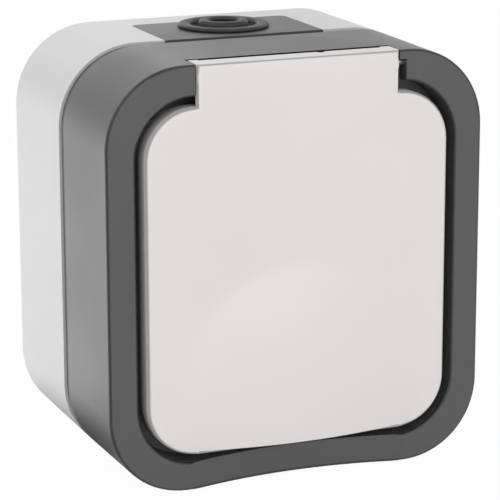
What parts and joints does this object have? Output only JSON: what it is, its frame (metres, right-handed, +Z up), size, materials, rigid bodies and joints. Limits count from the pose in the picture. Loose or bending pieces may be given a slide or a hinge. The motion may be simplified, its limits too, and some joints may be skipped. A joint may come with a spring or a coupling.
{
  "type": "outdoor socket outlet",
  "caption": "Surface-mounted weatherproof socket outlet: light grey box, dark front frame, sprung hinged lid with a domed finger lip, and a cable entry in the top.",
  "frame": {"origin": "centre of the rear face, which lies on the wall, at half the housing's height", "axes": "+X to the right when facing the lid, +Y into the wall so the lid looks along -Y, +Z up"},
  "size_m": [0.0664, 0.0507, 0.0723],
  "materials": {
    "grey_housing": "fine satin moulded thermoplastic, light grey",
    "grey_lid": "smooth satin moulded thermoplastic, light grey",
    "grey_insert": "satin moulded thermoplastic, light grey",
    "dark_frame": "fine satin moulded thermoplastic, dark grey",
    "dark_plate": "satin moulded thermoplastic, dark grey",
    "black_carrier": "matt glass-filled thermoplastic, near black",
    "black_seal": "matt elastomer, black",
    "brass": "plain stamped brass",
    "steel": "zinc-plated steel"
  },
  "bodies": {
    "housing": {"back_box": "grey_housing", "box_seal": "black_seal", "entry_plate": "dark_plate", "entry_grommet": "black_seal", "front_frame": "dark_frame", "socket_plate": "grey_insert", "contact_carrier": "black_carrier", "earth_strap": "brass", "live_contact_left": "brass", "live_terminal_left": "brass", "terminal_screw_left": "steel", "live_contact_right": "brass", "live_terminal_right": "brass", "terminal_screw_right": "steel", "earth_terminal": "brass", "terminal_screw_earth": "steel", "cover_screw_upper": "steel", "cover_screw_lower": "steel", "centre_screw": "steel", "hinge_pin": "steel", "lid_spring": "steel"},
    "cover": {"lid": "grey_lid", "lid_gasket": "black_seal"}
  },
  "joints": [
    {"name": "lid_hinge", "type": "hinge", "parent": "housing", "child": "cover", "pos_m": [0, -0.045, 0.033], "axis": [-1, 0, 0], "range_deg": [0, 108], "stiffness_Nm_per_rad": 0.02, "springref_deg": -22.92, "deforming": ["lid_spring"]}
  ]
}
